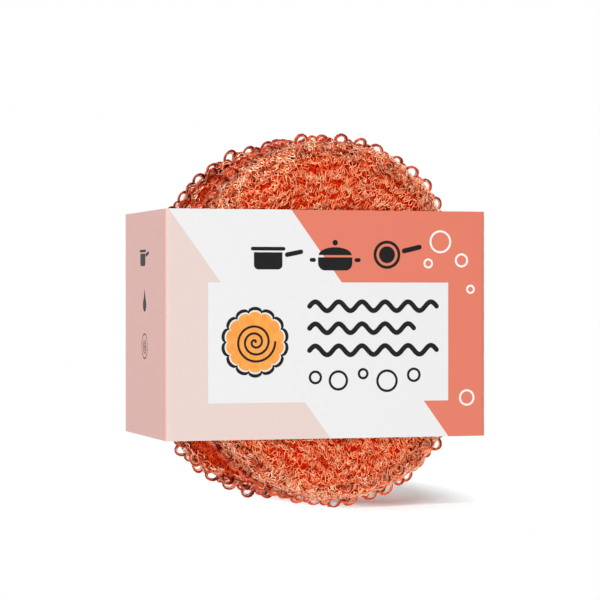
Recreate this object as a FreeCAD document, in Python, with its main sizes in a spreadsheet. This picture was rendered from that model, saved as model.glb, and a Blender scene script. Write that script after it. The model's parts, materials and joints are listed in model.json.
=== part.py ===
"""Pack of two knitted copper pot scrubbers, held one behind the other by a folded card sleeve.

Frame: millimetres, +Z up, the printed front panel faces -Y and +X is to the right of that panel.
The origin is the middle of the footprint, on the surface that the scrubbers stand on.
"""

import FreeCAD, Part
import math
import os

import Sketcher
from FreeCAD import Placement, Rotation, Vector

# Driving dimensions in millimetres, apart from the count and the angle that say so.
DRIVING_SIZES = [
    # card sleeve
    ("sleeve_width", 82.0),
    ("sleeve_depth", 46.0),
    ("sleeve_height", 56.0),
    ("sleeve_drop", 0.9),
    ("card_thickness", 0.5),
    ("crease_radius", 0.6),
    ("flap_width", 14.0),
    ("glue_thickness", 0.1),
    ("glue_margin", 2.0),
    # scrubbers
    ("scrubber_height", 95.0),
    ("sleeve_clearance", 0.3),
    ("pair_clearance", 0.4),
    ("stand_flat_depth", 1.0),
    ("cover_wall", 6.4),
    ("core_clearance", 0.3),
    # looped edge of the knit
    ("edge_loop_count", 96.0),
    ("edge_loop_rise", 1.4),
    ("edge_loop_step", 0.5),
    ("edge_loop_width", 2.4),
    ("edge_loop_root", 0.6),
    # gathered end of the knitted tube, and the wire that ties it
    ("gather_radius", 8.0),
    ("gather_depth", 4.5),
    ("neck_radius", 2.8),
    ("neck_setback", 0.6),
    ("tie_wire_radius", 0.6),
    ("tie_clearance", 0.1),
    ("tie_gap_degrees", 25.0),
    ("inner_mouth_radius", 3.0),
    ("cut_overrun", 5.0),
]

# Crown of a scrubber, from its outer face to its inner one: how deep a section lies, as a share of
# the thickness, and how large its oval is, as a share of the widest one.
CROWN_SHARES = [
    (0.0, 0.80),
    (0.10, 0.905),
    (0.24, 0.98),
    (0.40, 1.0),
    (0.58, 0.965),
    (0.80, 0.84),
    (1.0, 0.62),
]
RIM_DEPTH_SHARE = 0.40

# The inner side of a ring of edge loops, hidden in the cover's wall, is drawn with this many arcs.
ROOT_ARCS = 8

# The arcs of an oval meet where they lean at this angle.
JOIN_ANGLE = math.pi / 4

doc = FreeCAD.newDocument("PotScrubberPack")
sheet = doc.addObject("Spreadsheet::Sheet", "Sizes")
for row_number, (alias, value) in enumerate(DRIVING_SIZES, start=1):
    sheet.set(f"A{row_number}", alias.replace("_", " "))
    sheet.set(f"B{row_number}", str(value))
    sheet.setAlias(f"B{row_number}", alias)
doc.recompute()


class Size:
    """A size with its expression on the sheet and its value, which follow the same sums."""

    def __init__(self, text, value):
        self.text = text
        self.value = value

    def joined(self, sign, other, value):
        return Size(f"({self.text} {sign} {getattr(other, 'text', other)})", value)

    def __add__(self, other):
        return self.joined("+", other, self.value + getattr(other, "value", other))

    def __sub__(self, other):
        return self.joined("-", other, self.value - getattr(other, "value", other))

    def __mul__(self, other):
        return self.joined("*", other, self.value * getattr(other, "value", other))

    def __truediv__(self, other):
        return self.joined("/", other, self.value / getattr(other, "value", other))

    def __neg__(self):
        return Size(f"(-{self.text})", -self.value)


def named(alias):
    return Size(f"Sizes.{alias}", float(sheet.get(alias)))


ZERO = Size("0", 0.0)
CARD = named("card_thickness")
OVERRUN = named("cut_overrun")

# Places that several pieces share.
HALF_WIDTH = named("sleeve_width") / 2
HALF_DEPTH = named("sleeve_depth") / 2
FLAP_BACK_Y = HALF_DEPTH - CARD - named("glue_thickness")
CENTRE_Z = named("scrubber_height") / 2 - named("stand_flat_depth")
SLEEVE_BASE_Z = CENTRE_Z - named("sleeve_drop") - named("sleeve_height") / 2

FRONT_FACE_Y = -HALF_DEPTH + CARD + named("sleeve_clearance")
REAR_FACE_Y = FLAP_BACK_Y - CARD - named("sleeve_clearance")
THICKNESS = (REAR_FACE_Y - FRONT_FACE_Y - named("pair_clearance")) / 2

# Half axes of the oval that the edge loops reach, and of the body of the scrubber inside them.
LOOP_HALF_WIDTH = HALF_WIDTH - CARD - named("sleeve_clearance")
LOOP_HALF_HEIGHT = named("scrubber_height") / 2
BODY_INSET = named("edge_loop_rise") + named("edge_loop_root")


def bind(item, **sizes):
    """Ties properties of a document object to the sheet. A double underscore stands for a dot."""
    for name, size in sizes.items():
        item.setExpression(name.replace("__", "."), size.text)
    return item


def place(item, x=ZERO, y=ZERO, z=ZERO):
    return bind(item, Placement__Base__x=x, Placement__Base__y=y, Placement__Base__z=z)


def box(name, length, width, height, x, y, z):
    """A box given by its sizes along X, Y and Z and by its lowest corner."""
    item = bind(doc.addObject("Part::Box", name), Length=length, Width=width, Height=height)
    return place(item, x, y, z)


def boolean(kind, name, base, tool):
    item = doc.addObject(f"Part::{kind}", name)
    item.Base = base
    item.Tool = tool
    return item


def new_sketch(body, name, role):
    sketch = body.newObject("Sketcher::SketchObject", name)
    plane = next(feature for feature in body.Origin.OriginFeatures if feature.Role == role)
    sketch.AttachmentSupport = [(plane, "")]
    sketch.MapMode = "FlatFace"
    return sketch


def constrain(sketch, size, kind, *geometry):
    """Adds a dimension to a sketch and ties it to the sheet."""
    index = sketch.addConstraint(Sketcher.Constraint(kind, *geometry, size.value))
    sketch.setExpression(f"Constraints[{index}]", size.text)


def polygon(sketch, corners):
    """Draws a closed outline through corners given as pairs of sizes."""
    points = [Vector(x.value, y.value, 0) for x, y in corners]
    count = len(points)
    for i in range(count):
        sketch.addGeometry(Part.LineSegment(points[i], points[(i + 1) % count]), False)
    for i in range(count):
        sketch.addConstraint(Sketcher.Constraint("Coincident", i, 2, (i + 1) % count, 1))
    for i, (x, y) in enumerate(corners):
        constrain(sketch, x, "DistanceX", -1, 1, i, 1)
        constrain(sketch, y, "DistanceY", -1, 1, i, 1)


def oval(sketch, half_width, half_height):
    """Draws an oval of four arcs about the sketch's origin, tangent where they lean at 45 degrees."""
    cosine = math.cos(JOIN_ANGLE)
    spare = 1 - cosine
    divisor = cosine * cosine - spare * spare
    side_radius = (half_height * cosine - half_width * spare) / divisor
    end_radius = (half_width * cosine - half_height * spare) / divisor
    join_x = end_radius * cosine
    join_y = side_radius * cosine
    arcs = [
        (half_width - side_radius, ZERO, side_radius, join_x, -join_y),
        (ZERO, half_height - end_radius, end_radius, join_x, join_y),
        (side_radius - half_width, ZERO, side_radius, -join_x, join_y),
        (ZERO, end_radius - half_height, end_radius, -join_x, -join_y),
    ]
    for i, (x, y, radius, _, _) in enumerate(arcs):
        ring = Part.Circle(Vector(x.value, y.value, 0), Vector(0, 0, 1), radius.value)
        start = (2 * i - 1) * JOIN_ANGLE
        sketch.addGeometry(Part.ArcOfCircle(ring, start, start + 2 * JOIN_ANGLE), False)
    for i, (_, _, radius, start_x, start_y) in enumerate(arcs):
        sketch.addConstraint(Sketcher.Constraint("Coincident", i, 2, (i + 1) % len(arcs), 1))
        constrain(sketch, start_x, "DistanceX", -1, 1, i, 1)
        constrain(sketch, start_y, "DistanceY", -1, 1, i, 1)
        constrain(sketch, radius, "Radius", i)


def circle(sketch, radius):
    sketch.addGeometry(Part.Circle(Vector(0, 0, 0), Vector(0, 0, 1), radius.value), False)
    sketch.addConstraint(Sketcher.Constraint("Coincident", 0, 3, -1, 1))
    constrain(sketch, radius, "Radius", 0)


def crown(body, kind, name, outward, face_y, inset):
    """A crowned pad lofted through ovals, drawn in on all sides by the inset.

    The body's own XZ plane lies at the middle of the scrubber's height. Its normal is -Y, and
    outward is -1 where the outer face looks to -Y and 1 where it looks to +Y.
    """
    depth = THICKNESS - inset * 2
    sections = []
    for number, (depth_share, size_share) in enumerate(CROWN_SHARES):
        sketch = new_sketch(body, f"{name}_section_{number}", "XZ_Plane")
        section_y = face_y - (inset + depth * depth_share) * outward
        bind(sketch, AttachmentOffset__Base__z=-section_y)
        half_width = (LOOP_HALF_WIDTH - BODY_INSET - inset) * size_share
        half_height = (LOOP_HALF_HEIGHT - BODY_INSET - inset) * size_share
        oval(sketch, half_width, half_height)
        sections.append(sketch)
    loft = body.newObject(f"PartDesign::{kind}Loft", name)
    loft.Profile = sections[0]
    loft.Sections = sections[1:]
    return loft


def edge_loops(name, outward, face_y):
    """A ring of loops along the widest oval of a scrubber, rooted in its wall. Every second is low."""
    count = round(named("edge_loop_count").value)
    rise = named("edge_loop_rise").value
    step = named("edge_loop_step").value
    root = (BODY_INSET + named("cover_wall") / 2).value

    def at(turn, inward):
        half_width = LOOP_HALF_WIDTH.value - inward
        half_height = LOOP_HALF_HEIGHT.value - inward
        angle = math.tau * turn
        return Vector(half_width * math.sin(angle), 0, -half_height * math.cos(angle))

    def outline(steps, end_inward, middle_inwards):
        arcs = []
        for i in range(steps):
            start, middle, end = [(i + part) / steps for part in (-0.5, 0, 0.5)]
            tip = at(middle, middle_inwards[i % len(middle_inwards)])
            arcs.append(Part.Arc(at(start, end_inward), tip, at(end, end_inward)).toShape())
        return Part.Wire(arcs)

    ring = doc.addObject("Part::Feature", name)
    outlines = [outline(count, rise, [0, step]), outline(ROOT_ARCS, root, [root])]
    ring_face = Part.makeFace(outlines, "Part::FaceMakerBullseye")
    ring.Shape = ring_face.extrude(Vector(0, named("edge_loop_width").value, 0))
    rim_y = face_y - THICKNESS * RIM_DEPTH_SHARE * outward
    return place(ring, ZERO, rim_y - named("edge_loop_width") / 2, CENTRE_Z)


def card_sleeve():
    """Card folded round the scrubbers: four panels, and a flap glued inside the back panel."""
    body = doc.addObject("PartDesign::Body", "card_sleeve")
    inner_width = HALF_WIDTH - CARD
    inner_depth = HALF_DEPTH - CARD
    flap_front_y = FLAP_BACK_Y - CARD
    flap_end_x = HALF_WIDTH - named("flap_width")
    outer_creases = [
        (-HALF_WIDTH, HALF_DEPTH),
        (-HALF_WIDTH, -HALF_DEPTH),
        (HALF_WIDTH, -HALF_DEPTH),
        (HALF_WIDTH, FLAP_BACK_Y),
    ]
    inner_creases = [
        (inner_width, flap_front_y),
        (inner_width, -inner_depth),
        (-inner_width, -inner_depth),
        (-inner_width, inner_depth),
    ]
    flap_end = [(flap_end_x, FLAP_BACK_Y), (flap_end_x, flap_front_y)]
    back_edge = [(HALF_WIDTH, inner_depth), (HALF_WIDTH, HALF_DEPTH)]
    section = new_sketch(body, "sleeve_section", "XY_Plane")
    polygon(section, outer_creases + flap_end + inner_creases + back_edge)
    panels = bind(body.newObject("PartDesign::Pad", "sleeve_panels"), Length=named("sleeve_height"))
    panels.Profile = section
    doc.recompute()
    creased = panels
    outer_radius = named("crease_radius") + CARD
    folds = (("outer", outer_creases, outer_radius), ("inner", inner_creases, named("crease_radius")))
    for name, corners, radius in folds:
        fillet = bind(body.newObject("PartDesign::Fillet", f"{name}_creases"), Radius=radius)
        fillet.Base = (creased, upright_edges(creased.Shape, corners))
        doc.recompute()
        creased = fillet
    return place(body, z=SLEEVE_BASE_Z)


def upright_edges(shape, corners):
    """Names of the straight edges along Z that stand on the given corners."""
    found = []
    for x, y in corners:
        foot = Vector(x.value, y.value, 0)
        for number, edge in enumerate(shape.Edges, start=1):
            if len(edge.Vertexes) < 2:
                continue
            start, end = [vertex.Point for vertex in edge.Vertexes]
            across = math.hypot(start.x - foot.x, start.y - foot.y)
            tolerance = edge.Tolerance
            if across < tolerance and math.hypot(end.x - start.x, end.y - start.y) < tolerance:
                found.append(f"Edge{number}")
    return found


def glue_strip():
    """Dried glue between the flap and the back panel."""
    margin = named("glue_margin")
    return box(
        "glue_strip",
        named("flap_width") - margin * 2,
        named("glue_thickness"),
        named("sleeve_height") - margin * 2,
        HALF_WIDTH - named("flap_width") + margin,
        FLAP_BACK_Y,
        SLEEVE_BASE_Z + margin,
    )


def outward_pocket(body, name, radius, face_y, outward, depth):
    """A round pocket on the scrubber's middle line, cut inwards from a face that looks outward."""
    sketch = new_sketch(body, f"{name}_outline", "XZ_Plane")
    bind(sketch, AttachmentOffset__Base__z=-face_y)
    circle(sketch, radius)
    pocket = bind(body.newObject("PartDesign::Pocket", name), Length=depth)
    pocket.Profile = sketch
    pocket.Reversed = outward > 0
    return pocket


def scrubber_cover(side, outward, face_y):
    """Knitted outer tube: a crowned shell, looped at its edge and gathered at its outer face."""
    body = doc.addObject("PartDesign::Body", f"{side}_cover_shell")
    place(body, z=CENTRE_Z)
    wall = named("cover_wall")
    crown(body, "Additive", f"{side}_cover_crown", outward, face_y, ZERO)
    crown(body, "Subtractive", f"{side}_cover_hollow", outward, face_y, wall)
    gather_depth = named("gather_depth")
    outward_pocket(body, f"{side}_gather", named("gather_radius"), face_y, outward, gather_depth)
    inner_face_y = face_y - THICKNESS * outward
    mouth_depth = wall + OVERRUN
    outward_pocket(body, f"{side}_mouth", named("inner_mouth_radius"), inner_face_y, -outward, mouth_depth)

    neck_outline = new_sketch(body, f"{side}_neck_outline", "XZ_Plane")
    neck_end_y = face_y - named("neck_setback") * outward
    bind(neck_outline, AttachmentOffset__Base__z=-neck_end_y)
    circle(neck_outline, named("neck_radius"))
    neck = bind(body.newObject("PartDesign::Pad", f"{side}_neck"), Length=gather_depth)
    neck.Profile = neck_outline
    neck.Reversed = outward < 0

    loops = edge_loops(f"{side}_edge_loops", outward, face_y)
    looped = boolean("Fuse", f"{side}_looped_cover", body, loops)
    ground = box(
        f"{side}_ground",
        named("sleeve_width"),
        named("sleeve_depth"),
        OVERRUN,
        -HALF_WIDTH,
        -HALF_DEPTH,
        -OVERRUN,
    )
    return boolean("Cut", f"{side}_scrubber_cover", looped, ground)


def scrubber_core(side, outward, face_y):
    """Rolled inner mesh that fills the cover."""
    body = doc.addObject("PartDesign::Body", f"{side}_scrubber_core")
    inset = named("cover_wall") + named("core_clearance")
    crown(body, "Additive", f"{side}_core_crown", outward, face_y, inset)
    return place(body, z=CENTRE_Z)


def scrubber_tie(side, outward, face_y):
    """Open wire ring, closed round the neck of the gathered tube."""
    ring = doc.addObject("Part::Torus", f"{side}_scrubber_tie")
    wire = named("tie_wire_radius")
    bind(ring, Radius1=named("neck_radius") + named("tie_clearance") + wire, Radius2=wire)
    bind(ring, Angle3=-named("tie_gap_degrees") + 360)
    ring.Placement = Placement(Vector(0, 0, 0), Rotation(Vector(1, 0, 0), -90 * outward))
    seat_y = face_y - (named("gather_depth") - named("tie_clearance") - wire) * outward
    return place(ring, ZERO, seat_y, CENTRE_Z)


sub_parts = [card_sleeve(), glue_strip()]
for side, outward, face_y in (("front", -1, FRONT_FACE_Y), ("rear", 1, REAR_FACE_Y)):
    sub_parts.append(scrubber_cover(side, outward, face_y))
    sub_parts.append(scrubber_core(side, outward, face_y))
    sub_parts.append(scrubber_tie(side, outward, face_y))
doc.recompute()

for item in doc.Objects:
    if "Invalid" in item.State or "Error" in item.State:
        raise RuntimeError(f"{item.Label} failed to build: {item.State}")
for part in sub_parts:
    if part.Shape.isNull() or not part.Shape.isValid():
        raise RuntimeError(f"{part.Label} has no valid shape")

os.makedirs("parts", exist_ok=True)
for part in sub_parts:
    part.Shape.exportStep(f"parts/{part.Label}.step")
    print(f"{part.Label}: {len(part.Shape.Solids)} solid, {part.Shape.Volume / 1000:.2f} cm3")
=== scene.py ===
"""Looks of a pack of knitted copper pot scrubbers that stand in a printed card sleeve."""

import json
import math
from dataclasses import dataclass
from functools import partial

import bpy
import numpy as np
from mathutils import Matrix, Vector
from mathutils.geometry import tessellate_polygon

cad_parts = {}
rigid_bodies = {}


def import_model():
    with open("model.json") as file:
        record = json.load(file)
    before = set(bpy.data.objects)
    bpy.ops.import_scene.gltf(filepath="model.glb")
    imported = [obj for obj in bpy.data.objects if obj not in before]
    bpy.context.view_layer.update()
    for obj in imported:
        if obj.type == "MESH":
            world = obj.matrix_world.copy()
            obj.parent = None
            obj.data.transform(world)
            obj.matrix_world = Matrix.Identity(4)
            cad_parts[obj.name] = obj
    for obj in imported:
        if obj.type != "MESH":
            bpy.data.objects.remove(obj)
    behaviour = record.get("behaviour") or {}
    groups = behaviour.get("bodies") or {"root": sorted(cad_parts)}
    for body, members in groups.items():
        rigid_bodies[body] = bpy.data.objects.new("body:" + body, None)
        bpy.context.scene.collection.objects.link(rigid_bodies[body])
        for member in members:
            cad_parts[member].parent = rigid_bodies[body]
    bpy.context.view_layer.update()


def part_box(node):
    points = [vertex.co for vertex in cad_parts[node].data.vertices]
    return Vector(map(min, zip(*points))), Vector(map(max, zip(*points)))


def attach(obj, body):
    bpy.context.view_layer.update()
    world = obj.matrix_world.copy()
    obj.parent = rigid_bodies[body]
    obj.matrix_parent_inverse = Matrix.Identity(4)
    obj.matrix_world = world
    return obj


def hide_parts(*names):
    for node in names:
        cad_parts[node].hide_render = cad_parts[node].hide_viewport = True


MM = 0.001
SEED = 11
SEEDS_APART = 100

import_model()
scene = bpy.context.scene

# Crown of a scrubber from the tip of its gathered neck, down into the pocket round the neck, over
# the outer face, the rim and the inner face, into the drawn-in mouth: depth as a share of the
# thickness, and size of the oval as a share of the widest one.
CROWN = [
    (0.045, 0.035),
    (0.06, 0.058),
    (0.19, 0.062),
    (0.215, 0.125),
    (0.12, 0.175),
    (0.03, 0.25),
    (0.0, 0.36),
    (0.0, 0.80),
    (0.10, 0.905),
    (0.24, 0.98),
    (0.40, 1.0),
    (0.58, 0.965),
    (0.80, 0.84),
    (1.0, 0.62),
    (1.0, 0.40),
    (0.995, 0.22),
    (0.97, 0.11),
    (0.90, 0.07),
    (0.89, 0.03),
]
CROWN_STEPS = 24

# Where the rim starts, as a size of the oval, and how much fuller the oval is between its axes.
RIM_BAND_SHARE = 0.96
FULLNESS = 0.02

# In millimetres and counts. The rim draws back behind every second edge loop, so that it stands open.
STAND_FLAT_DEPTH = 1.0
EDGE_LOOPS = 96
RIM_NOTCH = 0.9

# Soft hollows of the surface, in millimetres: random waves, whose sum is divided by the spread.
HOLLOW_DEPTH = 0.7
HOLLOW_WIDTHS = (5.0, 12.0)
HOLLOW_WAVES = 6
HOLLOW_SPREAD = 2.2

# How far the soft ends that stick out of the sleeve lean to the right, or to the left if negative, in
# millimetres: top and foot. The lean sets in between two heights above or below the middle.
LEAN = {"front": (1.8, 3.0), "rear": (0.3, -1.8)}
LEAN_HEIGHTS = (18.0, 36.0)

# How far to each side lie the points that give a normal, in millimetres and in radians.
NORMAL_STEP = 0.3
NORMAL_TURN = 0.01


def linear(hex_code):
    """An sRGB hex colour as linear red, green, blue and alpha."""
    parts = [int(hex_code[i : i + 2], 16) / 255 for i in (1, 3, 5)]
    return [c / 12.92 if c <= 0.04045 else ((c + 0.055) / 1.055) ** 2.4 for c in parts] + [1.0]


def add(tree, kind, settings=None):
    """Adds a node. A setting is a property of it, or a value or a socket for one of its inputs.

    A map range takes its value at 0, the range it comes from at 1 and 2 and the one it goes to at 3
    and 4. A mix takes its share at 0 and its colours at 6 and 7.
    """
    node = tree.nodes.new(kind)
    for key, value in (settings or {}).items():
        if isinstance(value, bpy.types.NodeSocket):
            tree.links.new(value, node.inputs[key])
        elif isinstance(key, str) and hasattr(node, key):
            setattr(node, key, value)
        else:
            node.inputs[key].default_value = value
    return node


def new_material(name, **values):
    """A material with one shader, whose constant values are given by socket name."""
    material = bpy.data.materials.new(name)
    material.use_nodes = True
    tree = material.node_tree
    tree.nodes.clear()
    shader = add(tree, "ShaderNodeBsdfPrincipled")
    for socket, value in values.items():
        shader.inputs[socket.replace("_", " ")].default_value = value
    add(tree, "ShaderNodeOutputMaterial", {"Surface": shader.outputs[0]})
    return material, tree, shader


def dress(obj, material):
    obj.data.materials.clear()
    obj.data.materials.append(material)
    return obj


def mesh_object(name, corners, faces, material):
    """A smooth mesh from points in millimetres and from arrays of faces with equal corner counts."""
    faces = [np.asarray(group, np.int32) for group in faces]
    sizes = np.concatenate([np.full(len(group), group.shape[1]) for group in faces])
    mesh = bpy.data.meshes.new(name)
    mesh.vertices.add(len(corners))
    mesh.vertices.foreach_set("co", (np.asarray(corners) * MM).astype(np.float32).ravel())
    mesh.loops.add(int(sizes.sum()))
    mesh.loops.foreach_set("vertex_index", np.concatenate([group.ravel() for group in faces]))
    mesh.polygons.add(len(sizes))
    mesh.polygons.foreach_set("loop_start", (np.cumsum(sizes) - sizes).astype(np.int32))
    mesh.polygons.foreach_set("use_smooth", np.ones(len(sizes), bool))
    mesh.update(calc_edges=True)
    mesh.validate()
    obj = bpy.data.objects.new(name, mesh)
    scene.collection.objects.link(obj)
    return dress(obj, material)


def catmull_rom(knots, steps):
    """A smooth curve through the knots, with this many steps between two of them."""
    ends = np.vstack([2 * knots[0] - knots[1], knots, 2 * knots[-1] - knots[-2]])
    t = np.linspace(0, 1, steps, endpoint=False)[:, None]
    runs = []
    for i in range(len(knots) - 1):
        a, b, c, d = ends[i : i + 4]
        cubic = (3 * b - a - 3 * c + d) * t**3 + (2 * a - 5 * b + 4 * c - d) * t**2
        runs.append(b + (cubic + (c - a) * t) / 2)
    return np.vstack(runs + [knots[-1:]])


def eased(t):
    """A way from 0 to 1 that starts and ends gently."""
    return t * t * (3 - 2 * t)


def unit(vectors):
    """Vectors brought to a length of 1."""
    return vectors / (np.linalg.norm(vectors, axis=-1, keepdims=True) + 1e-9)


def wander(random, count, knots):
    """A closed random line of this many values between -1 and 1, with one knot per bend."""
    values = random.uniform(-1, 1, knots)
    at = np.linspace(0, knots, count, endpoint=False)
    i = np.floor(at).astype(int)
    share = eased(at - i)
    return values[i % knots] * (1 - share) + values[(i + 1) % knots] * share


class Scrubber:
    """Where one scrubber lies, in millimetres: its oval outline, its faces and its thickness."""

    def __init__(self, side):
        low, high = [Vector(corner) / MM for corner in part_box(f"{side}_scrubber_cover")]
        self.body = f"{side}_scrubber"
        self.outward = -1 if side == "front" else 1
        self.face_y = low.y if side == "front" else high.y
        self.thickness = high.y - low.y
        self.half_width = (high.x - low.x) / 2
        self.half_height = (high.z - low.z + STAND_FLAT_DEPTH) / 2
        self.centre_z = high.z - self.half_height
        self.lean = LEAN[side]
        random = np.random.RandomState(SEED + self.outward)
        ways = random.normal(size=(3, HOLLOW_WAVES))
        ways /= np.linalg.norm(ways, axis=0)
        self.waves = ways * math.tau / random.uniform(*HOLLOW_WIDTHS, HOLLOW_WAVES)

    def points(self, share, depth, angle, reach):
        """Points at an angle from the foot, on the oval that lies this reach inside the outline."""
        fuller = share * (1 + FULLNESS * np.sin(2 * angle) ** 2)
        x = fuller * (self.half_width - reach) * np.sin(angle)
        up = -fuller * (self.half_height - reach) * np.cos(angle)
        out = np.clip((np.abs(up) - LEAN_HEIGHTS[0]) / (LEAN_HEIGHTS[1] - LEAN_HEIGHTS[0]), 0, 1)
        x = x + np.where(up > 0, *self.lean) * eased(out)
        return np.stack([x, self.face_y - self.outward * depth, self.centre_z + up], -1)


class Crown:
    """A scrubber's surface, drawn in by an inset, by the length along its profile and the angle."""

    def __init__(self, scrubber, inset, reach):
        self.scrubber = scrubber
        self.reach = reach
        self.mean_half = (scrubber.half_width + scrubber.half_height) / 2 - reach
        curve = catmull_rom(np.array(CROWN), CROWN_STEPS)
        self.depth = inset + np.clip(curve[:, 0], 0, 1) * (scrubber.thickness - 2 * inset)
        self.share = curve[:, 1]
        steps = np.hypot(np.diff(self.share) * self.mean_half, np.diff(self.depth))
        self.along = np.concatenate([[0], np.cumsum(steps)])
        self.length = self.along[-1]

    def points(self, along, angle):
        share, depth = [np.interp(along, self.along, line) for line in (self.share, self.depth)]
        at_rim = np.clip((share - RIM_BAND_SHARE) / (1 - RIM_BAND_SHARE), 0, 1)
        notch = RIM_NOTCH * np.abs(np.cos(EDGE_LOOPS / 4 * angle - math.pi / 4)) * at_rim
        return self.scrubber.points(share, depth, angle, self.reach + notch)

    def normals(self, along, angle):
        run = self.points(along + NORMAL_STEP, angle) - self.points(along - NORMAL_STEP, angle)
        turn = self.points(along, angle + NORMAL_TURN) - self.points(along, angle - NORMAL_TURN)
        return unit(np.cross(run, turn) * self.scrubber.outward)

    def surface(self, along, angle, lift):
        """Points lifted off the surface, which sinks into soft hollows, and the normals there."""
        points, normals = self.points(along, angle), self.normals(along, angle)
        waves = np.sin(points @ self.scrubber.waves + np.arange(HOLLOW_WAVES))
        hollow = HOLLOW_DEPTH * (1 + np.clip(waves.sum(-1) / HOLLOW_SPREAD, -1, 1)) / 2
        return points + normals * (lift - hollow)[:, None], normals


def tube(points, normals, half_width, half_thickness, sides):
    """Corners and quads of a closed wire along a closed line, with its flat side to the normals."""
    ahead = unit(np.roll(points, -1, 0) - np.roll(points, 1, 0))
    across = unit(np.cross(ahead, normals))
    lift = np.cross(across, ahead)
    turn = np.arange(sides) * math.tau / sides - math.pi / 2
    section = across[:, None] * (half_width * np.cos(turn))[:, None]
    section = section + lift[:, None] * (half_thickness * np.sin(turn))[:, None]
    corners = (points[:, None] + section).reshape(-1, 3)
    row = np.arange(len(points))[:, None] * sides
    column = np.arange(sides)[None]
    after = (column + 1) % sides
    next_row = np.roll(row, -1, 0)
    quads = np.stack([row + column, next_row + column, next_row + after, row + after], -1)
    return corners, quads.reshape(-1, 4)


def wires(name, tubes, material):
    """One object of several wires, pressed flat where they would reach below the ground."""
    offsets = np.cumsum([0] + [len(corners) for corners, _ in tubes[:-1]])
    corners = np.vstack([corners for corners, _ in tubes])
    corners[:, 2] = np.maximum(corners[:, 2], 0.0)
    quads = np.vstack([quads + offset for (_, quads), offset in zip(tubes, offsets)])
    return mesh_object(name, corners, [quads], material)


@dataclass
class Layer:
    """One layer of knit: between which shares of the profile it runs, how deep it lies, how far
    inside the outline, its stitches and its flat wire, in millimetres."""

    first: float
    last: float
    inset: float
    reach: float
    pitch: float
    spacing: float
    half_width: float
    half_thickness: float
    bends: int


OUTER_KNIT = Layer(
    first=0.0,
    last=0.47,
    inset=0.4,
    reach=2.5,
    pitch=1.15,
    spacing=0.95,
    half_width=0.12,
    half_thickness=0.05,
    bends=5,
)
INNER_KNIT = Layer(
    first=0.55,
    last=1.0,
    inset=0.4,
    reach=2.6,
    pitch=1.5,
    spacing=1.3,
    half_width=0.13,
    half_thickness=0.06,
    bends=5,
)
LOWER_KNIT = Layer(
    first=0.08,
    last=0.66,
    inset=0.9,
    reach=3.1,
    pitch=1.4,
    spacing=1.2,
    half_width=0.13,
    half_thickness=0.07,
    bends=5,
)
RIM_LACE = Layer(
    first=0.44,
    last=0.56,
    inset=0.4,
    reach=2.7,
    pitch=1.6,
    spacing=1.3,
    half_width=0.16,
    half_thickness=0.09,
    bends=6,
)

# How far a stitch turns to each side of its course, the kinks in the wire and the turn of whole
# groups of stitches, in radians. The steps of the wire get longer and shorter by a share.
STITCH_SWING = 1.7
WIRE_KINK = 1.3
GROUP_TURN = 1.7
STEP_STRAY = 0.4

# Counts of stitches: in a turned group, in the run over which a course keeps to its line, in one
# bend of that line, and in the shortest course. The line bends by a share of the courses' spacing.
GROUP_STITCHES = 3
DRIFT_STITCHES = 3
BEND_STITCHES = 2
FEWEST_STITCHES = 16
COURSE_DRIFT = 1.1
KINKS_PER_STITCH = 2

# In millimetres: how far stitches and kinks stand out, how deep the wire lies between them, how near
# it comes to the ends of the profile, and the smallest radius that its steps are divided by.
STITCH_RELIEF = 0.13
KINK_RELIEF = 0.2
WIRE_SINK = 0.1
END_MARGIN = 0.4
LEAST_RADIUS = 1.0

# How far the flat wire tips over, as a share of its normal, and the sides of its section.
WIRE_TIP = 0.6
WIRE_SIDES = 3


def meander(random, stitches, bends):
    """A closed course of loops, in steps along and across it, whose wire is kinked and wanders."""
    count = stitches * bends
    heading = STITCH_SWING * np.sin(np.arange(count) * math.tau / bends)
    heading = heading + WIRE_KINK * wander(random, count, stitches * KINKS_PER_STITCH)
    steps = np.stack([np.cos(heading), np.sin(heading)])
    steps = steps * (1 + STEP_STRAY * wander(random, count, stitches))
    ahead = steps[0].mean()
    line = np.cumsum(steps - steps.mean(1, keepdims=True), 1)
    window = DRIFT_STITCHES * bends
    around = np.cumsum(np.hstack([line[:, -window:], line]), 1)
    line = (line - (around[:, window:] - around[:, :-window]) / window) / ahead
    turned = GROUP_TURN * wander(random, count, stitches // GROUP_STITCHES)
    along = line[0] * np.cos(turned) - line[1] * np.sin(turned)
    return along, line[0] * np.sin(turned) + line[1] * np.cos(turned)


def knit(scrubber, layer, name, material, seed):
    """One layer as courses of stitches, each course a closed flat wire."""
    random = np.random.RandomState(seed)
    crown = Crown(scrubber, layer.inset, layer.reach)
    first, last = layer.first * crown.length, layer.last * crown.length
    courses = []
    for along in np.arange(first + layer.spacing / 2, last, layer.spacing):
        radius = np.interp(along, crown.along, crown.share) * crown.mean_half
        stitches = max(FEWEST_STITCHES, round(math.tau * radius / layer.pitch))
        count = stitches * layer.bends
        turn = np.arange(count) * math.tau / count
        step = math.tau * radius / count
        sideways, across = meander(random, stitches, layer.bends)
        angle = turn + random.uniform(0, math.tau) + sideways * step / max(radius, LEAST_RADIUS)
        drift = COURSE_DRIFT * layer.spacing * wander(random, count, stitches // BEND_STITCHES)
        length = np.clip(along + drift + across * step, END_MARGIN, crown.length - END_MARGIN)
        kinks = wander(random, count, stitches * KINKS_PER_STITCH)
        relief = STITCH_RELIEF * np.cos(turn * stitches) + KINK_RELIEF * kinks - WIRE_SINK
        points, normals = crown.surface(length, angle, relief)
        tip = WIRE_TIP * wander(random, count, stitches * KINKS_PER_STITCH)[:, None]
        normals = normals + tip * np.roll(normals, 1, 1)
        courses.append(tube(points, normals, layer.half_width, layer.half_thickness, WIRE_SIDES))
    return wires(name, courses, material)


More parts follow.
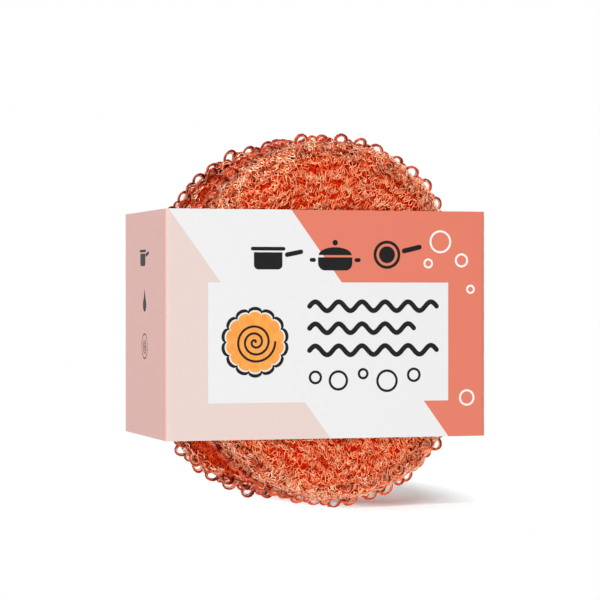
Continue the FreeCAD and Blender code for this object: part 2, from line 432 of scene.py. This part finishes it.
@dataclass
class PadForm:
    """A closed pad: how deep it lies, how far inside the outline, its grid and its ripples."""

    inset: float
    reach: float
    rows: int
    columns: int
    ripple: float


WALL_OUTSIDE = PadForm(1.7, 4.1, rows=64, columns=240, ripple=0.5)
WALL_INSIDE = PadForm(6.2, 8.2, rows=40, columns=120, ripple=0.0)
CORE = PadForm(6.6, 8.7, rows=60, columns=160, ripple=0.4)
RIPPLE_COLUMNS = 3


def pad(scrubber, form, seed):
    """Corners and faces of a closed, crowned and lumpy pad."""
    random = np.random.RandomState(seed)
    crown = Crown(scrubber, form.inset, form.reach)
    rows, columns = form.rows, form.columns
    angle = np.linspace(0, math.tau, columns, endpoint=False)
    rings = []
    for along in np.linspace(0, crown.length, rows):
        sunk = form.ripple * (1 + wander(random, columns, columns // RIPPLE_COLUMNS)) / 2
        rings.append(crown.surface(np.full(columns, along), angle, -sunk)[0])
    corners = np.vstack(rings + [rings[0].mean(0)[None], rings[-1].mean(0)[None]])
    row = np.arange(rows - 1)[:, None] * columns
    column = np.arange(columns)[None]
    after = (column + 1) % columns
    quads = np.stack([row + column, row + columns + column, row + columns + after, row + after], -1)
    tip = np.full(columns, rows * columns)
    first = np.stack([tip, column[0], after[0]], -1)
    end = (rows - 1) * columns
    last = np.stack([tip + 1, end + after[0], end + column[0]], -1)
    faces = [quads.reshape(-1, 4), first, last]
    return corners, faces if scrubber.outward < 0 else [group[:, ::-1] for group in faces]


def shell(name, outer, inner, material):
    """A closed wall between two closed surfaces, the inner one turned to face inwards."""
    corners = np.vstack([outer[0], inner[0]])
    turned = [group[:, ::-1] + len(outer[0]) for group in inner[1]]
    return mesh_object(name, corners, outer[1] + turned, material)


# Looped edge, in millimetres and counts. The loops of a row are of two kinds by turns, given as the
# number of turns and their radius. A row has its depth as a share of the thickness, how far inside
# the outline it runs, and its shift in loops.
EDGE_LOOP_KINDS = ((2, 2.0), (2, 1.45))
EDGE_ROWS = ((0.36, 0.0, 0), (0.50, 0.9, 1), (0.17, 3.4, 1))
POINTS_PER_TURN = 14
LINK_POINTS = 6
LOOP_COIL = 0.5

# Shares: of a loop's wire that leads in from the last loop, and out to the next one; of its size and
# its height, each between two values; of its size that it loses on its way; and how far it is
# shifted along the edge, slanted and tipped to either side.
LINK_SHARE = 0.12
LOOP_SIZES = (0.85, 1.02)
LOOP_HEIGHTS = (0.72, 0.95)
LOOP_TAPER = 0.15
LOOP_SHIFT = 0.2
LOOP_SLANT = 0.4
LOOP_TIP = 0.6


@dataclass
class EdgeWire:
    """A wire of the looped edge: the share of its loops' size, how far out they start, its section."""

    share: float
    lift: float
    half_width: float
    half_thickness: float
    sides: int


EDGE_RIBBON = EdgeWire(1.0, 0.0, half_width=0.21, half_thickness=0.42, sides=6)
EDGE_CURL = EdgeWire(0.78, 0.3, half_width=0.12, half_thickness=0.1, sides=4)


def edge_loops(scrubber, wire, name, material, seed):
    """Wires along the rim that curl into open loops, large and small by turns."""
    random = np.random.RandomState(seed)
    half = (scrubber.half_width + scrubber.half_height) / 2
    tallest = 2 * LOOP_HEIGHTS[1] * EDGE_LOOP_KINDS[0][1]
    foot = tallest + EDGE_RIBBON.half_width - wire.lift
    rows = []
    for depth_share, inset, shift in EDGE_ROWS:
        runs = []
        for i in range(EDGE_LOOPS):
            turns, radius = EDGE_LOOP_KINDS[(i + shift) % 2]
            steps = turns * POINTS_PER_TURN + LINK_POINTS
            t = np.arange(steps) / steps
            turn = math.tau * turns * np.clip((t - LINK_SHARE) / (1 - 2 * LINK_SHARE), 0, 1)
            links = np.clip(t - LINK_SHARE, -1, 0) + np.clip(t - 1 + LINK_SHARE, 0, 1)
            radius = wire.share * radius * random.uniform(*LOOP_SIZES) * (1 - LOOP_TAPER * t)
            place = i + 0.5 + links / (2 * LINK_SHARE) + random.uniform(-LOOP_SHIFT, LOOP_SHIFT)
            rise = radius * (1 - np.cos(turn)) * random.uniform(*LOOP_HEIGHTS)
            aside = random.uniform(-LOOP_SLANT, LOOP_SLANT) * rise - radius * np.sin(turn)
            angle = place * math.tau / EDGE_LOOPS + aside / half
            depth = LOOP_COIL * np.sin(math.tau * t) + random.uniform(-LOOP_TIP, LOOP_TIP) * rise
            runs.append(np.stack([angle, inset + foot - rise, depth]))
        angle, inward, depth = np.hstack(runs)
        depth = depth + scrubber.thickness * depth_share
        points = scrubber.points(1.0, depth, angle, inward)
        normals = np.tile([0.0, scrubber.outward, 0.0], (len(points), 1))
        rows.append(tube(points, normals, wire.half_width, wire.half_thickness, wire.sides))
    return wires(name, rows, material)


# The values of the noise at which a mottled surface is all dark and all light.
MOTTLE_BAND = (0.38, 0.62)


def mottled(name, light_hex, dark_hex, patch, **values):
    """A surface in lighter and darker patches of a size in millimetres."""
    material, tree, shader = new_material(name, **values)
    where = add(tree, "ShaderNodeTexCoord").outputs["Object"]
    noise = add(tree, "ShaderNodeTexNoise", {"Vector": where, "Scale": 1 / (patch * MM), "Detail": 2.0})
    band = {0: noise.outputs[0], 1: MOTTLE_BAND[0], 2: MOTTLE_BAND[1]}
    share = add(tree, "ShaderNodeMapRange", band).outputs[0]
    colours = {"data_type": "RGBA", 0: share, 6: linear(dark_hex), 7: linear(light_hex)}
    tint = add(tree, "ShaderNodeMix", colours).outputs[2]
    tree.links.new(tint, shader.inputs["Base Color"])
    return material


metal = partial(mottled, Metallic=1.0)

# Copper-plated steel wire, drawn and rolled flat, in lit and shaded copies of one copper with the
# light painted in: the strands on top are painted lit, the strands below them carry painted shade,
# and the layers in the gaps a deep red painted shade. At the rim, the pale lace and curls are painted
# glints, between loops of wire with painted shade, which stand out against a white surround.
painted_lit_wire = metal("copper_plated_wire_painted_lit", "#FFC094", "#FF824E", 1.2, Roughness=0.3)
painted_glint_wire = metal("copper_plated_wire_painted_glint", "#FFD6BA", "#FF9C74", 1.6, Roughness=0.3)
painted_shade_wire = metal("copper_plated_wire_shaded", "#F66838", "#DE4412", 2.0, Roughness=0.4)
painted_deep_shade_mesh = metal("copper_mesh_deep_layers_painted_shade", "#DC3206", "#B41400", 0.7, Roughness=0.7)
edge_wire_painted_shade = metal("copper_plated_wire_edge_painted_shade", "#CE5630", "#942A0E", 2.5, Roughness=0.25)
tie_wire = metal("copper_tie_wire", "#DE8059", "#B9542F", 3.0, Roughness=0.35)

# Brass wire, knitted and crumpled: a golden shine in the heart of the scrubber.
golden_mesh = metal("brass_mesh_core", "#E9C46A", "#C79A3C", 0.8, Roughness=0.4)

# Offset ink on coated card: an even, satin film with a slight mottle.
black_ink = mottled(
    "offset_ink_black", "#0E0D0D", "#060606", 1.5, Roughness=0.5, Specular_IOR_Level=0.15
)
orange_ink = mottled("offset_ink_orange", "#F4A03A", "#EE942C", 1.5, Roughness=0.42)
white_ink = mottled("offset_ink_white", "#F4F4F2", "#ECECEA", 1.5, Roughness=0.42)

# Hot-melt glue, rolled on and set: a cloudy cream film.
set_glue = mottled("hot_melt_glue_cream", "#E9DFC2", "#D8C9A2", 2.0, Roughness=0.35)
dress(bpy.data.objects["glue_strip"], set_glue)

for number, side in enumerate(("front", "rear")):
    scrubber = Scrubber(side)
    seeds = [SEED + SEEDS_APART * number + i for i in range(8)]
    outer_seed, inner_seed, lower_seed, edge_seed, wall_seed, lining_seed, core_seed, lace_seed = seeds
    # The outer face is painted lit, the inner face and the lower knit carry painted shade, the lace and
    # the curls are painted glints, and the edge loops and the wall carry painted shade.
    outer_face = knit(scrubber, OUTER_KNIT, f"{side}_knit_outer", painted_lit_wire, outer_seed)
    inner_face = knit(scrubber, INNER_KNIT, f"{side}_knit_inner", painted_shade_wire, inner_seed)
    lower = knit(scrubber, LOWER_KNIT, f"{side}_knit_lower", painted_shade_wire, lower_seed)
    lace = knit(scrubber, RIM_LACE, f"{side}_rim_lace", painted_glint_wire, lace_seed)
    loops = edge_loops(scrubber, EDGE_RIBBON, f"{side}_edge_loops", edge_wire_painted_shade, edge_seed)
    curls = edge_loops(scrubber, EDGE_CURL, f"{side}_edge_curls", painted_glint_wire, edge_seed)
    outside = pad(scrubber, WALL_OUTSIDE, wall_seed)
    inside = pad(scrubber, WALL_INSIDE, lining_seed)
    wall = shell(f"{side}_knit_wall", outside, inside, painted_deep_shade_mesh)
    core = mesh_object(f"{side}_core_mesh", *pad(scrubber, CORE, core_seed), golden_mesh)
    for piece in (outer_face, inner_face, lower, lace, loops, curls, wall):
        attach(piece, scrubber.body)
    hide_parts(f"{side}_scrubber_cover")
    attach(core, scrubber.body)
    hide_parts(f"{side}_scrubber_core")
    dress(bpy.data.objects[f"{side}_scrubber_tie"], tie_wire)


# Curves of the print: the waves in millimetres, the bulges of a looped edge as a share of its radius,
# the spiral's turns and where it starts, in radians, and how far the drop's foot reaches round, in
# half turns past each side.
WAVE_LENGTH, WAVE_HEIGHT, WAVE_PEN = 6.0, 1.1, 1.2
PRINTED_LOOPS = 14
PRINTED_BULGE = 0.1
SPIRAL_TURNS = 3
SPIRAL_START = 0.6
DROP_REACH = 0.3

# Counts of points on them. For the pen it is the round end of a line, and for a wave a millimetre.
CIRCLE_POINTS = 40
PEN_POINTS = 9
CORNER_POINTS = 8
LID_POINTS = 24
DROP_POINTS = 40
SPIRAL_POINTS = 150
WAVE_POINTS = 4
LOOPED_POINTS = 224


def circle(u, v, radius):
    angle = np.arange(CIRCLE_POINTS) * math.tau / CIRCLE_POINTS
    return np.stack([u + radius * np.cos(angle), v + radius * np.sin(angle)], 1)


def ring(u, v, radius, width):
    return [circle(u, v, radius + width / 2), circle(u, v, radius - width / 2)]


def stroke(line, width):
    """Outline of a line drawn with a round pen."""
    line = np.asarray(line, float)
    ahead = np.gradient(line, axis=0)
    ahead *= width / 2 / np.linalg.norm(ahead, axis=1, keepdims=True)
    left = np.stack([-ahead[:, 1], ahead[:, 0]], 1)
    turn = np.linspace(0, math.pi, PEN_POINTS)[1:-1, None]
    far_cap = line[-1] + left[-1] * np.cos(turn) + ahead[-1] * np.sin(turn)
    near_cap = line[0] - left[0] * np.cos(turn) - ahead[0] * np.sin(turn)
    return [np.vstack([line + left, far_cap, (line - left)[::-1], near_cap])]


def bowl(half_width, depth, corner):
    """A pot from the side: straight walls and round corners at the bottom."""
    turn = np.linspace(0, math.pi / 2, CORNER_POINTS)
    right = np.stack([half_width - corner + corner * np.sin(turn), corner - corner * np.cos(turn)], 1)
    right = np.vstack([right, [[half_width, depth]]])
    return [np.vstack([right, (right * [-1, 1])[::-1]])]


def lid(half_width, height, foot):
    """A domed lid from the side."""
    turn = np.linspace(0, math.pi, LID_POINTS)
    return [np.stack([half_width * np.cos(turn), foot + height * np.sin(turn)], 1)]


def drop(radius, height):
    """A drop: a round foot that runs up to a point."""
    turn = np.linspace(-DROP_REACH * math.pi, (1 + DROP_REACH) * math.pi, DROP_POINTS)
    foot = np.stack([radius * np.cos(turn), radius - radius * np.sin(turn)], 1)
    return [np.vstack([foot[::-1], [[0, height]]])]


def spiral(growth, width):
    """A line that winds outwards by this much per radian."""
    turn = np.linspace(SPIRAL_START, SPIRAL_TURNS * math.tau, SPIRAL_POINTS)
    return stroke(np.stack([np.cos(turn), np.sin(turn)], 1) * (turn * growth)[:, None], width)


def wave(u, v, length):
    along = np.linspace(0, length, round(length * WAVE_POINTS))
    height = WAVE_HEIGHT * np.sin(along * math.tau / WAVE_LENGTH)
    return stroke(np.stack([u + along, v + height], 1), WAVE_PEN)


def looped_edge(radius):
    """Round outline with bulging loops, like the rim of a scrubber."""
    angle = np.arange(LOOPED_POINTS) * math.tau / LOOPED_POINTS
    bulges = np.sqrt(np.abs(np.sin(PRINTED_LOOPS / 2 * angle)))
    out = radius * (1 - PRINTED_BULGE + PRINTED_BULGE * bulges)
    return np.stack([out * np.cos(angle), out * np.sin(angle)], 1)


# Motifs of the print, in millimetres from the middle of each one's foot, or from its own middle.
SAUCEPAN = [
    bowl(4.5, 5.2, 1.4),
    stroke([(-4.9, 6.3), (4.9, 6.3)], 1.1),
    stroke([(6.0, 4.5), (10.4, 5.4)], 1.4),
]
CASSEROLE = [
    bowl(5.5, 4.0, 2.2),
    lid(5.3, 2.4, 4.7),
    [circle(0, 8.5, 0.85)],
    stroke([(-7.6, 3.2), (-6.8, 3.2)], 1.2),
    stroke([(6.8, 3.2), (7.6, 3.2)], 1.2),
]
FRYING_PAN = [
    ring(0, 4.4, 3.9, 0.9),
    [circle(0, 4.4, 2.6)],
    stroke([(5.6, 5.6), (10.6, 6.8)], 1.5),
]
LOOPED_RING = [[looped_edge(8.6), looped_edge(7.8)], spiral(0.27, 0.55)]
DROP = [drop(2.2, 7.0)]

# Places of the print, in millimetres from the middle of a panel and above the ground: motifs with
# their scale, waves with their length, bubbles and foam with their radius.
POTS = ((SAUCEPAN, -15.5, 59.0, 0.8), (CASSEROLE, 1.6, 58.8, 0.8), (FRYING_PAN, 15.0, 59.2, 0.8))
SIDE_ICONS = ((SAUCEPAN, -2.0, 60.0, 0.6), (DROP, 0.0, 48.6, 0.8), (LOOPED_RING, 0.0, 40.0, 0.38))
WAVES = ((-5.0, 50.0, 33.0), (-5.0, 44.6, 27.0), (-5.0, 39.2, 33.0))
BUBBLES = ((-3.5, 32.6, 1.4), (2.4, 31.8, 2.2), (8.8, 33.4, 1.1), (15.0, 31.6, 2.5), (22.0, 33.0, 1.5))
FOAM = ((29.0, 66.0, 2.6), (34.6, 61.4, 1.5), (25.8, 60.6, 1.0), (37.0, 54.2, 0.9), (36.0, 27.2, 1.8))
DISC = (-18.8, 41.3)
DISC_RADIUS = 7.4
BUBBLE_PEN = 0.6
FOAM_PEN = 0.5

# Thickness of the films of ink, in millimetres. Where two lie together, the black one is on top.
BLACK_FILM = 0.03
ORANGE_FILM = 0.015
SINGLE_FILM = 0.02


def placed(motif, u, v, scale):
    return [[loop * scale + [u, v] for loop in shape] for shape in motif]


def printed(name, panel, motifs, film, ink):
    """A film of ink on one panel of the sleeve: closed flat shapes, this thick in millimetres."""
    origin, right, out = [np.array(axis, float) for axis in panel]
    corners, faces, walls = [], [], []
    for shape in motifs:
        loops = []
        for i, loop in enumerate(shape):
            after = np.roll(loop, -1, 0)
            area = (loop[:, 0] * after[:, 1] - loop[:, 1] * after[:, 0]).sum()
            loops.append(loop if (area > 0) == (i == 0) else loop[::-1])
        flat = np.vstack(loops)
        outlines = [[Vector((*point, 0)) for point in loop] for loop in loops]
        triangles = np.array(tessellate_polygon(outlines))
        a, b, c = [flat[triangles[:, k]] for k in range(3)]
        turned = np.cross(b - a, c - a) < 0
        triangles[turned] = triangles[turned, ::-1]
        first = sum(len(part) for part in corners)
        below = origin + flat[:, :1] * right + flat[:, 1:] * [0, 0, 1]
        corners.append(np.vstack([below, below + out * film]))
        faces += [triangles[:, ::-1] + first, triangles + first + len(flat)]
        start = first
        for loop in loops:
            here = start + np.arange(len(loop))
            after = np.roll(here, -1)
            walls.append(np.stack([here, after, after + len(flat), here + len(flat)], 1))
            start += len(loop)
    obj = mesh_object(name, np.vstack(corners), [np.vstack(faces), np.vstack(walls)], ink)
    obj.data.polygons.foreach_set("use_smooth", np.zeros(len(obj.data.polygons), bool))
    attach(obj, "sleeve")


def card_print():
    """A kitchen print of pots, waves and bubbles, on the label and round it."""
    low, high = [np.array(corner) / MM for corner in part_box("card_sleeve")]
    front = ((0, low[1], 0), (1, 0, 0), (0, -1, 0))
    back = ((0, high[1], 0), (-1, 0, 0), (0, 1, 0))
    left = ((low[0], 0, 0), (0, -1, 0), (-1, 0, 0))
    pots = [shape for motif in POTS for shape in placed(*motif)]
    icons = [shape for motif in SIDE_ICONS for shape in placed(*motif)]
    label = [wave(*place) for place in WAVES]
    label += [ring(*bubble, BUBBLE_PEN) for bubble in BUBBLES]
    label += placed(LOOPED_RING, *DISC, 1.0)
    disc = [[looped_edge(DISC_RADIUS) + DISC]]
    foam = [ring(*bubble, FOAM_PEN) for bubble in FOAM]
    printed("front_print_black", front, pots + label, BLACK_FILM, black_ink)
    printed("front_print_orange", front, disc, ORANGE_FILM, orange_ink)
    printed("front_print_white", front, foam, SINGLE_FILM, white_ink)
    printed("left_print_black", left, icons, SINGLE_FILM, black_ink)
    printed("back_print_black", back, label, BLACK_FILM, black_ink)
    printed("back_print_orange", back, disc, ORANGE_FILM, orange_ink)


# Colours of the card: the slanted blocks, the label, the left side, the bare inside, and the folds,
# worn and lit by a painted highlight.
PALE_PINK = linear("#E0CCC5")
PAPER_WHITE = linear("#E6E6E6")
SALMON = linear("#DC745B")
SIDE_PINK = linear("#FFC9C1")
BARE_FIBRE = linear("#E9E4DC")
WORN_AND_HIGHLIT_INK = linear("#F4ECE6")

# The panel's print in shares of its width and height: how far the blocks slant, where the white and
# the salmon block start, and the label's middle and half its size, across and down.
BLOCK_SLANT = -0.497
WHITE_FROM = 0.007
SALMON_FROM = 0.379
LABEL_ACROSS = (0.503, 0.376)
LABEL_DOWN = (0.5785, 0.2615)

# In millimetres: how far from an edge the wear and painted highlight of a fold begin and are full,
# the size of its rubbed and highlit patches, the grain of the card and its depth, and how clearly a
# face has to look outwards.
FOLD_BAND = (0.7, 0.1)
RUB_AND_HIGHLIGHT_PATCH = 1.5
GRAIN = 0.25
GRAIN_DEPTH = 0.05
OUTWARD = 0.1

# The values of the noise between which ink is rubbed off and lightened by a painted highlight, the
# most that goes, and how far to the left a normal points on the left side.
RUB_AND_HIGHLIGHT_BAND = (0.35, 0.7)
RUB_AND_HIGHLIGHT_STRENGTH = 0.7
LEFTWARD = -0.7


def card():
    """Printed folding card: slanted blocks of colour under a white label, bare fibre inside."""
    low, high = [Vector(corner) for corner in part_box("card_sleeve")]
    material, tree, shader = new_material("printed_folding_card_satin", Roughness=0.5)
    where = add(tree, "ShaderNodeTexCoord").outputs["Object"]
    place = add(tree, "ShaderNodeSeparateXYZ", {0: where}).outputs
    facing = add(tree, "ShaderNodeNewGeometry").outputs["True Normal"]
    normal = add(tree, "ShaderNodeSeparateXYZ", {0: facing}).outputs

    across = add(tree, "ShaderNodeMapRange", {0: place["X"], 1: low.x, 2: high.x}).outputs[0]
    down = add(tree, "ShaderNodeMapRange", {0: place["Z"], 1: high.z, 2: low.z}).outputs[0]
    slant = {"operation": "MULTIPLY_ADD", 0: down, 1: BLOCK_SLANT, 2: across}
    band = add(tree, "ShaderNodeMath", slant).outputs[0]
    blocks = add(tree, "ShaderNodeValToRGB", {0: band})
    blocks.color_ramp.interpolation = "CONSTANT"
    blocks.color_ramp.elements[0].color = PALE_PINK
    blocks.color_ramp.elements[1].position = WHITE_FROM
    blocks.color_ramp.elements[1].color = PAPER_WHITE
    blocks.color_ramp.elements.new(SALMON_FROM).color = SALMON

    in_label = []
    for share, (middle, half) in ((across, LABEL_ACROSS), (down, LABEL_DOWN)):
        near = {"operation": "COMPARE", 0: share, 1: middle, 2: half}
        in_label.append(add(tree, "ShaderNodeMath", near).outputs[0])
    label = {"operation": "MULTIPLY", 0: in_label[0], 1: in_label[1]}
    label = add(tree, "ShaderNodeMath", label).outputs[0]
    with_label = {"data_type": "RGBA", 0: label, 6: blocks.outputs[0], 7: PAPER_WHITE}
    print_colour = add(tree, "ShaderNodeMix", with_label).outputs[2]

    left = {"operation": "LESS_THAN", 0: normal["X"], 1: LEFTWARD}
    left = add(tree, "ShaderNodeMath", left).outputs[0]
    side = {"data_type": "RGBA", 0: left, 6: print_colour, 7: SIDE_PINK}
    print_colour = add(tree, "ShaderNodeMix", side).outputs[2]

    # A face that looks away from the upright axis is outside. One that looks up or down is bare.
    flat = {"operation": "MULTIPLY", 0: facing, 1: (1, 1, 0)}
    flat = add(tree, "ShaderNodeVectorMath", flat).outputs[0]
    outside = add(tree, "ShaderNodeVectorMath", {"operation": "DOT_PRODUCT", 0: flat, 1: where})
    outside = {"operation": "GREATER_THAN", 0: outside.outputs["Value"], 1: OUTWARD * MM}
    outside = add(tree, "ShaderNodeMath", outside).outputs[0]
    fibre = {"data_type": "RGBA", 0: outside, 6: BARE_FIBRE, 7: print_colour}
    colour = add(tree, "ShaderNodeMix", fibre).outputs[2]

    # Along the four folds the ink is rubbed thin and lightened further by a painted highlight.
    to_fold = []
    for axis, reach in (("X", high.x), ("Y", high.y)):
        from_middle = add(tree, "ShaderNodeMath", {"operation": "ABSOLUTE", 0: place[axis]}).outputs[0]
        near = {0: from_middle, 1: reach - FOLD_BAND[0] * MM, 2: reach - FOLD_BAND[1] * MM}
        to_fold.append(add(tree, "ShaderNodeMapRange", near).outputs[0])
    fold = {"operation": "MULTIPLY", 0: to_fold[0], 1: to_fold[1]}
    fold = add(tree, "ShaderNodeMath", fold).outputs[0]
    patches = {"Vector": where, "Scale": 1 / (RUB_AND_HIGHLIGHT_PATCH * MM), "Detail": 4.0}
    rub_and_highlight = add(tree, "ShaderNodeTexNoise", patches).outputs[0]
    rub_and_highlight = {0: rub_and_highlight, 1: RUB_AND_HIGHLIGHT_BAND[0], 2: RUB_AND_HIGHLIGHT_BAND[1], 4: RUB_AND_HIGHLIGHT_STRENGTH}
    rub_and_highlight = add(tree, "ShaderNodeMapRange", rub_and_highlight).outputs[0]
    worn_and_highlit = add(tree, "ShaderNodeMath", {"operation": "MULTIPLY", 0: fold, 1: rub_and_highlight}).outputs[0]
    worn_and_highlit_mix = {"data_type": "RGBA", 0: worn_and_highlit, 6: colour, 7: WORN_AND_HIGHLIT_INK}
    colour = add(tree, "ShaderNodeMix", worn_and_highlit_mix).outputs[2]
    tree.links.new(colour, shader.inputs["Base Color"])

    grain = add(tree, "ShaderNodeTexNoise", {"Vector": where, "Scale": 1 / (GRAIN * MM), "Detail": 3.0})
    bump = {"Height": grain.outputs[0], "Strength": 0.05, "Distance": GRAIN_DEPTH * MM}
    tree.links.new(add(tree, "ShaderNodeBump", bump).outputs[0], shader.inputs["Normal"])
    dress(bpy.data.objects["card_sleeve"], material)


card()
card_print()

# Camera: degrees round the pack and above it, what it looks at, from how far and through which lens,
# in millimetres.
AZIMUTH, ELEVATION = -16.66, 0.12
TARGET = (-0.54, 0, 51.5)
DISTANCE = 600
LENS, SENSOR_WIDTH = 141.5, 36

# Square lamps, in metres and watts: place, size and power. All are aimed at one point of the pack.
LAMPS = {
    "key": ((-0.25, -0.7, 1.1), 0.25, 8.6),
    "front": ((-0.1, -1.1, -0.2), 0.9, 5.6),
    "left": ((-1.0, -0.1, 0.1), 0.8, 2.4),
    "back": ((0.8, 0.6, 0.4), 0.8, 6.0),
    "foot": ((0.15, -0.25, -0.9), 0.6, 4.0),
}
LAMP_AIM = (0, 0, 0.045)
WORLD_LIGHT = 0.3

# The floor, in metres, just below the foot of the pack. It fades out between two distances from a
# point, in an ellipse, because the way backwards counts for less.
FLOOR_RADIUS = 0.3
FLOOR_HEIGHT = -0.0001
FLOOR_GLOW = 0.04
FADE_WEIGHTS = (1, 0.4, 1)
FADE_POINT = (0.022, 0.016, 0)
FADE_BAND = (0.018, 0.03)


def camera():
    """Stands a little to the left of the front panel, level with the pack."""
    azimuth, elevation = math.radians(AZIMUTH), math.radians(ELEVATION)
    flat = math.cos(elevation)
    direction = Vector((math.sin(azimuth) * flat, -math.cos(azimuth) * flat, math.sin(elevation)))
    data = bpy.data.cameras.new("camera")
    data.lens = LENS
    data.sensor_width = SENSOR_WIDTH
    obj = bpy.data.objects.new("camera", data)
    obj.location = Vector(TARGET) * MM + direction * DISTANCE * MM
    obj.rotation_euler = direction.to_track_quat("Z", "Y").to_euler()
    scene.collection.objects.link(obj)
    scene.camera = obj


def area_light(name, place, size, power):
    data = bpy.data.lights.new(name, "AREA")
    data.size = size
    data.energy = power
    obj = bpy.data.objects.new(name, data)
    obj.location = place
    obj.rotation_euler = (Vector(place) - Vector(LAMP_AIM)).to_track_quat("Z", "Y").to_euler()
    scene.collection.objects.link(obj)


def surround():
    """White to the eye and in reflections, and a dim light on everything else."""
    world = bpy.data.worlds.new("studio")
    scene.world = world
    world.use_nodes = True
    tree = world.node_tree
    tree.nodes.clear()
    rays = add(tree, "ShaderNodeLightPath").outputs
    seen = rays["Is Camera Ray"]
    for ray in ("Is Glossy Ray", "Is Transmission Ray"):
        seen = add(tree, "ShaderNodeMath", {"operation": "MAXIMUM", 0: seen, 1: rays[ray]}).outputs[0]
    strength = add(tree, "ShaderNodeMapRange", {0: seen, 3: WORLD_LIGHT, 4: 1.0}).outputs[0]
    light = add(tree, "ShaderNodeBackground", {"Color": (1, 1, 1, 1), "Strength": strength})
    add(tree, "ShaderNodeOutputWorld", {"Surface": light.outputs[0]})


def studio_floor():
    """White floor that keeps the shadow at the foot and fades into the surround."""
    white = linear("#FFFFFF")
    whites = {"Base_Color": white, "Emission_Color": white}
    material, tree, shader = new_material("white_studio_floor", Roughness=0.9, **whites)
    where = add(tree, "ShaderNodeTexCoord").outputs["Object"]
    weighed = {"operation": "MULTIPLY", 0: where, 1: FADE_WEIGHTS}
    weighed = add(tree, "ShaderNodeVectorMath", weighed).outputs[0]
    far = {"operation": "DISTANCE", 0: weighed, 1: FADE_POINT}
    far = add(tree, "ShaderNodeVectorMath", far).outputs["Value"]
    fade = {0: far, 1: FADE_BAND[0], 2: FADE_BAND[1], 3: 1.0, 4: 0.0}
    fade = add(tree, "ShaderNodeMapRange", fade).outputs[0]
    seen = add(tree, "ShaderNodeLightPath").outputs["Is Camera Ray"]
    alpha = add(tree, "ShaderNodeMath", {"operation": "MULTIPLY", 0: fade, 1: seen}).outputs[0]
    tree.links.new(alpha, shader.inputs["Alpha"])
    glow = add(tree, "ShaderNodeMapRange", {0: seen, 3: 0.0, 4: FLOOR_GLOW}).outputs[0]
    tree.links.new(glow, shader.inputs["Emission Strength"])
    place = (0, 0, FLOOR_HEIGHT)
    bpy.ops.mesh.primitive_circle_add(vertices=96, radius=FLOOR_RADIUS, fill_type="NGON", location=place)
    floor = bpy.context.object
    floor.name = "floor"
    dress(floor, material)


camera()
surround()
studio_floor()
for name, (place, size, power) in LAMPS.items():
    area_light(name, place, size, power)
scene.view_settings.view_transform = "Standard"
